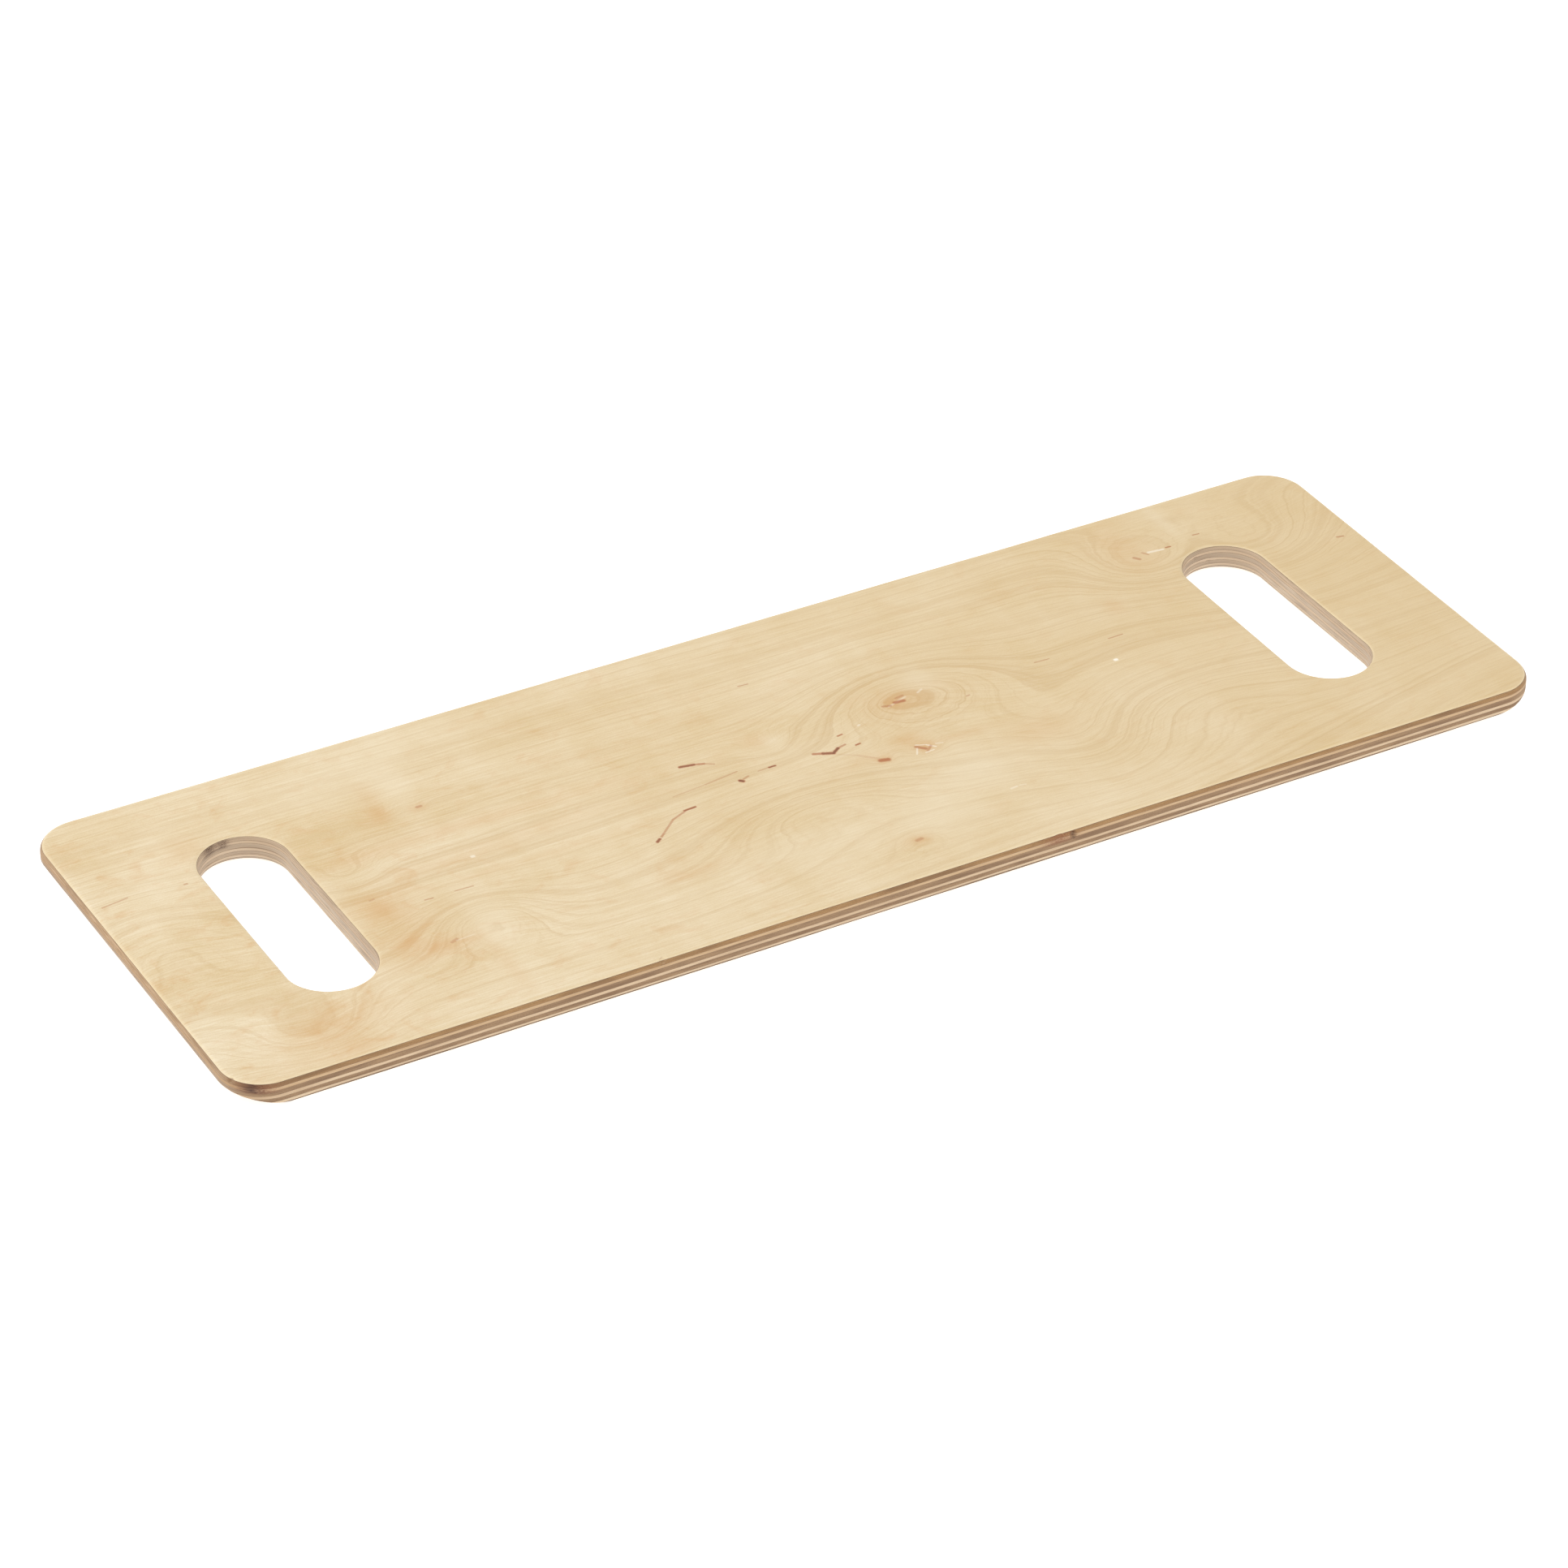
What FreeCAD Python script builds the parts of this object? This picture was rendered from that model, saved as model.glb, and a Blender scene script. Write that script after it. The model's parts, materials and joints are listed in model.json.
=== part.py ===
import FreeCAD, Part
import os

import Sketcher

# Patient transfer board in nine-ply birch plywood, with two hand slots and no moving parts.
#
# Millimetres. +X runs along the board, +Y across it and +Z up. The origin is the centre of the
# underside, so the board lies on z = 0.
#
# The board is made in the order of the workshop. "Panel" is the pressed sheet after it has been
# cut to outline, slotted, eased along its edges and bevelled under both short ends. Each veneer
# and each glue film is the slice of that panel between its own two heights, so every layer
# carries the same cuts, and the lower ones come out shorter where the end bevels pass through.

DRIVING_SIZES = (
    ("board_length", 610.0, "24 in, over the short ends"),
    ("board_width", 203.0, "8 in, over the long sides"),
    ("board_thickness", 12.0, "nominal 1/2 in panel"),
    ("corner_radius", 19.0, "3/4 in, seen from above"),
    ("edge_arris", 2.8, "routed rounding on the outer edges, top and bottom"),
    ("slot_offset", 236.0, "middle of the board to the middle of a hand slot"),
    ("slot_length", 116.0, "across the board, over the round ends"),
    ("slot_width", 37.5, "along the board, and twice the radius of the round ends"),
    ("slot_arris", 2.4, "routed rounding on the slot rims, top and bottom"),
    ("bevel_length", 26.0, "how far the end bevel runs in along the underside"),
    ("bevel_height", 6.6, "how much of the end wall the bevel takes away"),
    ("lower_outer_cross_veneer_thickness", 1.1, "peeled veneer after pressing"),
    ("lower_long_veneer_thickness", 1.05, "peeled veneer after pressing"),
    ("lower_inner_cross_veneer_thickness", 1.65, "peeled veneer after pressing"),
    ("core_long_veneer_thickness", 1.25, "peeled veneer after pressing"),
    ("upper_inner_cross_veneer_thickness", 2.15, "peeled veneer after pressing"),
    ("upper_long_veneer_thickness", 1.25, "peeled veneer after pressing"),
    ("upper_outer_cross_veneer_thickness", 1.45, "peeled veneer after pressing"),
    ("top_face_veneer_thickness", 0.7, "thin face veneer, after the last sanding"),
    ("glue_thickness", 0.1, "cured phenolic film between two veneers"),
    ("cut_margin", 5.0, "how far cutting shapes reach past the board"),
)

# The lay-up from the underside up. Face and long veneers have their grain along X, cross
# veneers have theirs along Y, and a glue film lies between each two. The bottom face veneer
# takes what the others leave of the board's thickness.
VENEERS = (
    "bottom_face_veneer",
    "lower_outer_cross_veneer",
    "lower_long_veneer",
    "lower_inner_cross_veneer",
    "core_long_veneer",
    "upper_inner_cross_veneer",
    "upper_long_veneer",
    "upper_outer_cross_veneer",
    "top_face_veneer",
)

START, END, CENTRE = 1, 2, 3
ORIGIN_POINT = (-1, 1)
X_AXIS = -1
NEAR = 1e-6


def add_sizes_sheet(doc):
    """The driving sizes, one row each: name, value under an alias, and what it measures."""
    sheet = doc.addObject("Spreadsheet::Sheet", "Sizes")
    for row, (alias, value, note) in enumerate(DRIVING_SIZES, start=1):
        sheet.set(f"A{row}", alias.replace("_", " "))
        sheet.set(f"B{row}", str(value))
        sheet.set(f"C{row}", note)
        sheet.setAlias(f"B{row}", alias)
    doc.recompute()
    return sheet


def origin_plane(body, role):
    """The body's own origin plane of that role, such as XY_Plane."""
    for feature in body.Origin.OriginFeatures:
        if feature.Role == role:
            return feature
    raise RuntimeError(f"{body.Label} has no {role}")


def add_sketch(body, name, plane_role):
    sketch = body.newObject("Sketcher::SketchObject", name)
    sketch.AttachmentSupport = (origin_plane(body, plane_role), [""])
    sketch.MapMode = "FlatFace"
    return sketch


def bind(sketch, constraint, formula):
    """Adds a sized constraint under its own name and binds it to the sheet."""
    name, arguments = constraint
    index = sketch.addConstraint(Sketcher.Constraint(*arguments))
    sketch.renameConstraint(index, name)
    sketch.setExpression(f"Constraints.{name}", formula)


def add_line(sketch, start, end):
    """A straight edge between two (x, y) points of the sketch."""
    return sketch.addGeometry(Part.LineSegment(FreeCAD.Vector(*start, 0), FreeCAD.Vector(*end, 0)))


def add_arc(sketch, centre, radius, from_degrees, to_degrees):
    """An arc that turns anticlockwise from one direction to the other, in degrees."""
    circle = Part.Circle(FreeCAD.Vector(*centre, 0), FreeCAD.Vector(0, 0, 1), radius)
    first = FreeCAD.Units.Quantity(from_degrees, FreeCAD.Units.Angle).getValueAs("rad").Value
    last = FreeCAD.Units.Quantity(to_degrees, FreeCAD.Units.Angle).getValueAs("rad").Value
    return sketch.addGeometry(Part.ArcOfCircle(circle, first, last))


def join_smoothly(sketch, edges):
    """Joins a closed run of edges end to start, each tangent to the next."""
    for edge, following in zip(edges, edges[1:] + edges[:1]):
        sketch.addConstraint(Sketcher.Constraint("Tangent", edge, END, following, START))


def draw_board_outline(sketch, sizes):
    """A rectangle centred on the origin, with all four corners rounded alike."""
    half_x = sizes.board_length / 2
    half_y = sizes.board_width / 2
    radius = sizes.corner_radius
    inner_x = half_x - radius
    inner_y = half_y - radius
    bottom = add_line(sketch, (-inner_x, -half_y), (inner_x, -half_y))
    corner_a = add_arc(sketch, (inner_x, -inner_y), radius, 270, 360)
    right = add_line(sketch, (half_x, -inner_y), (half_x, inner_y))
    corner_b = add_arc(sketch, (inner_x, inner_y), radius, 0, 90)
    top = add_line(sketch, (inner_x, half_y), (-inner_x, half_y))
    corner_c = add_arc(sketch, (-inner_x, inner_y), radius, 90, 180)
    left = add_line(sketch, (-half_x, inner_y), (-half_x, -inner_y))
    corner_d = add_arc(sketch, (-inner_x, -inner_y), radius, 180, 270)
    join_smoothly(sketch, [bottom, corner_a, right, corner_b, top, corner_c, left, corner_d])
    for edge in (bottom, top):
        sketch.addConstraint(Sketcher.Constraint("Horizontal", edge))
    for edge in (right, left):
        sketch.addConstraint(Sketcher.Constraint("Vertical", edge))
    for corner in (corner_b, corner_c):
        sketch.addConstraint(Sketcher.Constraint("Equal", corner_a, corner))
    sketch.addConstraint(
        Sketcher.Constraint("Symmetric", corner_a, CENTRE, corner_c, CENTRE, *ORIGIN_POINT)
    )
    bind(sketch, ("length", ("DistanceX", left, END, right, START, 2 * half_x)), "Sizes.board_length")
    bind(sketch, ("width", ("DistanceY", bottom, START, top, END, 2 * half_y)), "Sizes.board_width")
    bind(sketch, ("corner", ("Radius", corner_a, radius)), "Sizes.corner_radius")


def draw_hand_slot(sketch, sizes):
    """One slot across the board at +X: two straight sides and two half-round ends."""
    middle_x = sizes.slot_offset
    radius = sizes.slot_width / 2
    end_y = sizes.slot_length / 2 - radius
    outer_side = add_line(sketch, (middle_x + radius, -end_y), (middle_x + radius, end_y))
    far_end = add_arc(sketch, (middle_x, end_y), radius, 0, 180)
    inner_side = add_line(sketch, (middle_x - radius, end_y), (middle_x - radius, -end_y))
    near_end = add_arc(sketch, (middle_x, -end_y), radius, 180, 360)
    join_smoothly(sketch, [outer_side, far_end, inner_side, near_end])
    sketch.addConstraint(Sketcher.Constraint("Vertical", outer_side))
    sketch.addConstraint(
        Sketcher.Constraint("Symmetric", far_end, CENTRE, near_end, CENTRE, X_AXIS)
    )
    bind(sketch, ("offset", ("DistanceX", *ORIGIN_POINT, far_end, CENTRE, middle_x)), "Sizes.slot_offset")
    bind(sketch, ("end_radius", ("Radius", far_end, radius)), "Sizes.slot_width / 2")
    bind(
        sketch,
        ("end_spacing", ("DistanceY", near_end, CENTRE, far_end, CENTRE, 2 * end_y)),
        "Sizes.slot_length - Sizes.slot_width",
    )


def draw_bevel_wedge(sketch, sizes):
    """The wedge that the end bevel takes away under the +X end, seen from the side.

    Its point is on the underside. The two other corners lie past the board's end, one below the
    underside and one on the line of the bevel carried on.
    """
    point_x = sizes.board_length / 2 - sizes.bevel_length
    past_x = sizes.board_length / 2 + sizes.cut_margin
    run = sizes.bevel_length + sizes.cut_margin
    rise = sizes.bevel_height * run / sizes.bevel_length
    drop = -sizes.cut_margin
    slope = add_line(sketch, (point_x, 0), (past_x, rise))
    back = add_line(sketch, (past_x, rise), (past_x, drop))
    under = add_line(sketch, (past_x, drop), (point_x, drop))
    front = add_line(sketch, (point_x, drop), (point_x, 0))
    outline = [slope, back, under, front]
    for edge, following in zip(outline, outline[1:] + outline[:1]):
        sketch.addConstraint(Sketcher.Constraint("Coincident", edge, END, following, START))
    sketch.addConstraint(Sketcher.Constraint("PointOnObject", slope, START, X_AXIS))
    sketch.addConstraint(Sketcher.Constraint("Vertical", back))
    sketch.addConstraint(Sketcher.Constraint("Horizontal", under))
    sketch.addConstraint(Sketcher.Constraint("Vertical", front))
    bind(
        sketch,
        ("start", ("DistanceX", *ORIGIN_POINT, slope, START, point_x)),
        "Sizes.board_length / 2 - Sizes.bevel_length",
    )
    bind(
        sketch,
        ("run", ("DistanceX", slope, START, slope, END, run)),
        "Sizes.bevel_length + Sizes.cut_margin",
    )
    bind(
        sketch,
        ("rise", ("DistanceY", slope, START, slope, END, rise)),
        "Sizes.bevel_height * (Sizes.bevel_length + Sizes.cut_margin) / Sizes.bevel_length",
    )
    bind(sketch, ("drop", ("DistanceY", front, START, front, END, -drop)), "Sizes.cut_margin")


def flat_edges(shape, height, wanted):
    """Names of the edges that lie level at that height and pass the wanted(box) test."""
    names = []
    for index, edge in enumerate(shape.Edges, start=1):
        box = edge.BoundBox
        level = abs(box.ZMin - height) < NEAR and abs(box.ZMax - height) < NEAR
        if level and wanted(box):
            names.append(f"Edge{index}")
    return names


def add_cut(body, name, sketch, volume_before):
    """A pocket right through the panel, both ways from its sketch."""
    cut = body.newObject("PartDesign::Pocket", name)
    cut.Profile = sketch
    cut.Type = "ThroughAll"
    cut.Midplane = True
    body.Document.recompute()
    if cut.Shape.Volume > volume_before - NEAR:
        raise RuntimeError(f"{name} removed nothing")
    return cut


def add_mirror(body, name, feature):
    """The same cut at the other end of the board."""
    mirror = body.newObject("PartDesign::Mirrored", name)
    mirror.Originals = [feature]
    mirror.MirrorPlane = (origin_plane(body, "YZ_Plane"), [""])
    body.Tip = mirror
    body.Document.recompute()
    return mirror


def add_rounding(body, name, base, edge_names, alias):
    rounding = body.newObject("PartDesign::Fillet", name)
    rounding.Base = (base, edge_names)
    rounding.setExpression("Radius", f"Sizes.{alias}")
    body.Tip = rounding
    body.Document.recompute()
    return rounding


def make_panel(doc, sizes):
    """The whole board in one piece, as it leaves the router and the sander."""
    body = doc.addObject("PartDesign::Body", "Panel")
    outline = add_sketch(body, "BoardOutline", "XY_Plane")
    draw_board_outline(outline, sizes)
    sheet = body.newObject("PartDesign::Pad", "PressedSheet")
    sheet.Profile = outline
    sheet.setExpression("Length", "Sizes.board_thickness")
    doc.recompute()

    slot_sketch = add_sketch(body, "HandSlotOutline", "XY_Plane")
    draw_hand_slot(slot_sketch, sizes)
    slot = add_cut(body, "HandSlot", slot_sketch, sheet.Shape.Volume)
    slots = add_mirror(body, "HandSlots", slot)

    slot_reach = sizes.slot_offset + sizes.slot_width / 2 + NEAR

    def around_a_slot(box):
        return max(abs(box.XMin), abs(box.XMax)) < slot_reach and box.YLength < sizes.slot_length

    def around_the_board(box):
        return not around_a_slot(box)

    outer_edges = []
    for height in (0.0, sizes.board_thickness):
        outer_edges += flat_edges(slots.Shape, height, around_the_board)
    eased = add_rounding(body, "EasedEdges", slots, outer_edges, "edge_arris")
    slot_edges = []
    for height in (0.0, sizes.board_thickness):
        slot_edges += flat_edges(eased.Shape, height, around_a_slot)
    eased_slots = add_rounding(body, "EasedSlots", eased, slot_edges, "slot_arris")

    wedge = add_sketch(body, "BevelWedge", "XZ_Plane")
    draw_bevel_wedge(wedge, sizes)
    bevel = add_cut(body, "EndBevel", wedge, eased_slots.Shape.Volume)
    add_mirror(body, "EndBevels", bevel)
    return body


def layer_plan():
    """The layers from the underside up, as (name, formula for the thickness)."""
    upper = []
    for number, veneer in enumerate(VENEERS[1:], start=1):
        upper.append((f"glue_film_{number}", "Sizes.glue_thickness"))
        upper.append((veneer, f"Sizes.{veneer}_thickness"))
    rest = "Sizes.board_thickness - " + " - ".join(thickness for _, thickness in upper)
    return [(VENEERS[0], rest), *upper]


def add_slab(doc, name, thickness, slab_below):
    """A block wider than the board that spans one layer's heights and rests on the last one."""
    slab = doc.addObject("Part::Box", f"Slab_{name}")
    slab.setExpression("Length", "Sizes.board_length + 2 * Sizes.cut_margin")
    slab.setExpression("Width", "Sizes.board_width + 2 * Sizes.cut_margin")
    slab.setExpression("Height", thickness)
    slab.setExpression("Placement.Base.x", "-Sizes.board_length / 2 - Sizes.cut_margin")
    slab.setExpression("Placement.Base.y", "-Sizes.board_width / 2 - Sizes.cut_margin")
    if slab_below is not None:
        below = slab_below.Name
        slab.setExpression("Placement.Base.z", f"{below}.Placement.Base.z + {below}.Height")
    return slab


def make_layers(doc, panel):
    """Every veneer and glue film, as the slice of the panel that its slab holds."""
    layers = []
    slab = None
    for name, thickness in layer_plan():
        slab = add_slab(doc, name, thickness, slab)
        layer = doc.addObject("Part::Common", name)
        layer.Base = panel
        layer.Tool = slab
        layer.Label = name
        layers.append(layer)
    doc.recompute()
    return layers


def check_document(doc):
    """Stops on any object that failed to compute, because recompute itself doesn't raise."""
    for item in doc.Objects:
        if "Invalid" in item.State or "Error" in item.State:
            raise RuntimeError(f"{item.Label} failed: {item.State}")


def check_layers(layers, panel):
    """Each layer is one sound solid, and together they fill the panel exactly."""
    total = 0.0
    for layer in layers:
        shape = layer.Shape
        if shape.isNull() or not shape.isValid() or len(shape.Solids) != 1:
            raise RuntimeError(f"{layer.Label} is not one valid solid")
        total += shape.Volume
    if abs(total - panel.Shape.Volume) > NEAR * panel.Shape.Volume:
        raise RuntimeError("the layers don't add up to the panel")


def main():
    doc = FreeCAD.newDocument("TransferBoard")
    sizes = add_sizes_sheet(doc)
    panel = make_panel(doc, sizes)
    layers = make_layers(doc, panel)
    check_document(doc)
    check_layers(layers, panel)
    os.makedirs("parts", exist_ok=True)
    for layer in layers:
        layer.Shape.exportStep(f"parts/{layer.Label}.step")
        box = layer.Shape.optimalBoundingBox()
        print(f"{layer.Label}: z {box.ZMin:.2f} to {box.ZMax:.2f} mm, {layer.Shape.Volume:.0f} mm3")


main()
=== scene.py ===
import json
import math
from functools import partial

import bmesh
import bpy
from bpy.props import FloatProperty, FloatVectorProperty, PointerProperty
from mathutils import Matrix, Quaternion, Vector, noise
from mathutils.geometry import delaunay_2d_cdt


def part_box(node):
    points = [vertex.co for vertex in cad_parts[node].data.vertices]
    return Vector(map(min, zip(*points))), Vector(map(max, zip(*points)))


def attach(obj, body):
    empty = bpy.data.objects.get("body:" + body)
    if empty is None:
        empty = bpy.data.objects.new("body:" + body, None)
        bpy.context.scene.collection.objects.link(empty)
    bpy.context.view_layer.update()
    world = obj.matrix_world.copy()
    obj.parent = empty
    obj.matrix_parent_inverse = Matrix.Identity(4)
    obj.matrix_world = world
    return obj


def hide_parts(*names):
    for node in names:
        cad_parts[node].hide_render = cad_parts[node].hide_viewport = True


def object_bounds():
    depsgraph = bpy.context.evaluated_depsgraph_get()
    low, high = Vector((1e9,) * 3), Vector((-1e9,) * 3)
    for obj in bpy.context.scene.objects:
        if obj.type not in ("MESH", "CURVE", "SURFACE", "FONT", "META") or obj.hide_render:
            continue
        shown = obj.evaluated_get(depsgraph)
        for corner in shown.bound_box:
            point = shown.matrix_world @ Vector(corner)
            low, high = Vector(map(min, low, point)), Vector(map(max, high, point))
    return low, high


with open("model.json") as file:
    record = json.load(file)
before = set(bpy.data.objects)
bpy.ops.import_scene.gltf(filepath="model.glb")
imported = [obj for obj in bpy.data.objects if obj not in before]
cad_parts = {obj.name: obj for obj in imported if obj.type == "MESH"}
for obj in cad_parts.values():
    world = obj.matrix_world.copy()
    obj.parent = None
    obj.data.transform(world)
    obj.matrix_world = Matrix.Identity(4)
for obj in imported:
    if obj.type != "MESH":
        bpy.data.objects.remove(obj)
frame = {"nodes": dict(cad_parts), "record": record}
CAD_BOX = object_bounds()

bl_info = {
    "name": "Birch plywood transfer board",
    "version": (1, 0, 0),
    "blender": (4, 5, 0),
    "location": "View3D > Sidebar > Transfer board",
    "description": "Builds the veneers, glue films and studio of a plywood transfer board on its CAD frame",
    "category": "Object",
}

MM = 0.001  # the shapes below are worked out in millimetres and stored in metres
RING_STEP = 0.75  # spacing of points round the cut edges, mm
GRID_STEP = 8.0  # spacing of points over the hidden faces of a ply, mm
GRID_CLEARANCE = 4.0  # no grid point lies nearer to a cut edge than this, mm
ARRIS_STEPS = 8  # facets round a sanded arris
WALL_STEPS = 3  # facets up the flat part of a ply's edge
TOUCH = 0.01  # places nearer to each other than this are the same place, mm
SHARP_ANGLE = math.radians(40)  # edges that turn by more than this are shaded as sharp
GUARD = 0.5  # flat strip between the arris and the flat face, keeps the face's shading flat, mm
TABLE_HALF = 8.0  # half the width of the table, m
TABLE_TILES = 16
TABLE_HEIGHT = -0.0002  # just clear of the board's underside, m
CAMERA_AIM = (-12.9, -8.0, 6.0)  # the place that the camera looks at, mm
SENSOR_WIDTH = 36  # mm


# ---------------------------------------------------------------------------
# Sizes read from the CAD frame, in millimetres


def node_points(node):
    """The corner points of one CAD node, in millimetres."""
    return [v.co / MM for v in frame["nodes"][node].data.vertices]


def heights(node):
    """The bottom and top height of one CAD node."""
    low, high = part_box(node)
    return low.z / MM, high.z / MM


LENGTH = (CAD_BOX[1].x - CAD_BOX[0].x) / MM
WIDTH = (CAD_BOX[1].y - CAD_BOX[0].y) / MM
THICKNESS = (CAD_BOX[1].z - CAD_BOX[0].z) / MM
CORE = node_points("core_long_veneer")
TOP = [p for p in node_points("top_face_veneer") if p.z > THICKNESS - TOUCH]
UNDER = [p for p in node_points("bottom_face_veneer") if p.z < TOUCH]
CORNER_RADIUS = LENGTH / 2 - max(p.x for p in CORE if p.y > WIDTH / 2 - TOUCH)
SLOT_X = max(m["pos_m"][0] for m in frame["record"]["mounts"]) / MM
SLOT_RIM = [p for p in CORE if abs(p.x - SLOT_X) < 40 and abs(p.y) < WIDTH / 2 - 10]
SLOT_HALF_X = max(p.x for p in SLOT_RIM) - SLOT_X
SLOT_HALF_Y = max(p.y for p in SLOT_RIM)
EDGE_ARRIS = WIDTH / 2 - max(p.y for p in TOP)
SLOT_ARRIS = max(p.y for p in TOP if abs(p.x - SLOT_X) < 20 and abs(p.y) < 80) - SLOT_HALF_Y
BEVEL_START = max(p.x for p in UNDER)
END_WALL = [p for node in frame["nodes"] for p in node_points(node) if p.x > LENGTH / 2 - TOUCH]
BEVEL_HEIGHT = min(p.z for p in END_WALL)

# The inner veneers from the underside up. No two come from the same log, so each has its own tint and
# strength of tint; the lowest one's deep brown tint is also painted shade, where the bottom edge turns
# under toward the table.
PLY_TINTS = {
    # painted shade: this dark tint stands for the shade on the lowest ply where the edge turns under
    "lower_outer_cross_veneer": ("#5E4A38", 0.60),
    "lower_long_veneer": ("#E2CFB2", 0.45),
    "lower_inner_cross_veneer": ("#A0866A", 0.30),
    "core_long_veneer": ("#DDC6A6", 0.40),
    "upper_inner_cross_veneer": ("#9C8163", 0.40),
    "upper_long_veneer": ("#C2A074", 0.50),
    "upper_outer_cross_veneer": ("#B58A55", 0.45),
}
GLUE_FILMS = tuple(f"glue_film_{i}" for i in range(1, 9))
GLUE_HEIGHTS = [sum(heights(film)) / 2 for film in GLUE_FILMS]

# Small damage on the cut edges: place, radius, and how far the wood has gone, all in mm
CHIPS = (
    ((-120.6, -100.6, 11.3), 1.7, (0.0, 0.9, -0.7)),
    ((-303.1, -90.4, 11.3), 1.5, (0.6, 0.2, -0.5)),
    ((-298.2, -99.2, 11.3), 1.8, (0.5, 0.6, -0.6)),
    ((-300.8, -97.0, 10.9), 1.6, (0.5, 0.4, -0.3)),
    ((69.6, -101.5, 9.7), 1.5, (0.0, 1.6, 0.0)),
    ((63.0, -101.5, 10.3), 2.2, (0.0, 0.4, 0.0)),
    ((-4.4, -101.5, 11.2), 1.3, (0.0, 0.5, -0.2)),
    ((144.4, -101.5, 10.6), 1.2, (0.0, 0.5, 0.0)),
    ((232.0, 57.0, 8.2), 1.4, (0.0, 0.5, 0.0)),
    ((239.0, 58.0, 5.0), 1.3, (0.0, 0.4, 0.0)),
)


# ---------------------------------------------------------------------------
# Edge loops: points round the outline and the slots, each with the direction into the wood


def rounded_loop(centre_x, half_x, half_y, radius, into):
    """Points round a rounded rectangle, anticlockwise, as (point, direction into the wood)."""
    loop = []
    straight_x, straight_y = half_x - radius, half_y - radius
    for turn, (sx, sy, run) in enumerate(
        ((1, -1, 2 * straight_y), (1, 1, 2 * straight_x), (-1, 1, 2 * straight_y), (-1, -1, 2 * straight_x))
    ):
        corner = Vector((centre_x + sx * straight_x, sy * straight_y))
        arc_steps = math.ceil(radius * math.pi / 2 / RING_STEP)
        for i in range(arc_steps):
            angle = math.pi / 2 * (turn - 1 + i / arc_steps)
            out = Vector((math.cos(angle), math.sin(angle)))
            loop.append((corner + out * radius, out * into))
        out = Vector((round(math.cos(math.pi / 2 * turn)), round(math.sin(math.pi / 2 * turn))))
        along = Vector((-out.y, out.x))
        run_steps = math.ceil(run / RING_STEP - 0.01)
        for i in range(run_steps):
            loop.append((corner + out * radius + along * run * i / run_steps, out * into))
    return loop


def board_loops():
    """The outline and both slots, as (loop, arris radius)."""
    return (
        (rounded_loop(0, LENGTH / 2, WIDTH / 2, CORNER_RADIUS, -1), EDGE_ARRIS),
        (rounded_loop(-SLOT_X, SLOT_HALF_X, SLOT_HALF_Y, SLOT_HALF_X, 1), SLOT_ARRIS),
        (rounded_loop(SLOT_X, SLOT_HALF_X, SLOT_HALF_Y, SLOT_HALF_X, 1), SLOT_ARRIS),
    )


LOOPS = board_loops()


def in_slot(x, y, margin):
    """True inside either hand slot, grown by margin."""
    reach_y = max(abs(y) - (SLOT_HALF_Y - SLOT_HALF_X), 0)
    return math.hypot(abs(x) - SLOT_X, reach_y) < SLOT_HALF_X + margin


def face_grid():
    """Points spread over the flat of the board, clear of every cut edge."""
    count_x = int((LENGTH - 2 * GRID_CLEARANCE) / GRID_STEP)
    count_y = int((WIDTH - 2 * GRID_CLEARANCE) / GRID_STEP)
    points = []
    for i in range(count_x + 1):
        for j in range(count_y + 1):
            x = (i - count_x / 2) * GRID_STEP
            y = (j - count_y / 2) * GRID_STEP
            past_x = max(abs(x) - (LENGTH / 2 - CORNER_RADIUS), 0)
            past_y = max(abs(y) - (WIDTH / 2 - CORNER_RADIUS), 0)
            if math.hypot(past_x, past_y) > CORNER_RADIUS - GRID_CLEARANCE or in_slot(x, y, GRID_CLEARANCE):
                continue
            points.append(Vector((x, y)))
    return points


def face_triangles():
    """Triangles of the flat face over the loop points and then the grid points, without the slots."""
    points, edges, owner = [], [], []
    for number, (loop, _arris) in enumerate(LOOPS):
        start = len(points)
        points += [point for point, _into in loop]
        owner += [number] * len(loop)
        edges += [(start + i, start + (i + 1) % len(loop)) for i in range(len(loop))]
    points += GRID
    owner += [None] * len(GRID)
    _, _, faces, origin, _, _ = delaunay_2d_cdt(points, edges, [], 0, 1e-6)
    triangles = [[origin[i][0] for i in face] for face in faces]
    # a triangle with all its corners on one slot's rim lies in that slot
    return [t for t in triangles if {owner[i] for i in t} not in ({1}, {2})]


GRID = face_grid()
TRIANGLES = face_triangles()


# ---------------------------------------------------------------------------
# Plies as closed meshes


def waver(height, x, y, amount):
    """How far a glue line at this height wanders up or down at a place, as pressed veneer does."""
    if height < TOUCH or height > THICKNESS - TOUCH:
        return 0.0
    film = min(range(len(GLUE_HEIGHTS)), key=lambda i: abs(GLUE_HEIGHTS[i] - height))
    if film in (0, len(GLUE_HEIGHTS) - 1):
        amount *= 0.4  # the thin face veneers stay even, or sanding would have cut through them
    slow = noise.noise(Vector((x / 62, y / 48, film * 7.3)))
    quick = noise.noise(Vector((x / 17, y / 15, film * 4.1 + 50)))
    return amount * (1.3 * slow + 0.35 * quick)


def arris_depth(height, arris):
    """How far a rounded arris stands back from the upright wall at this height."""
    rise = max(height - (THICKNESS - arris), arris - height, 0)
    return arris - math.sqrt(max(arris * arris - rise * rise, 0))


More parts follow.
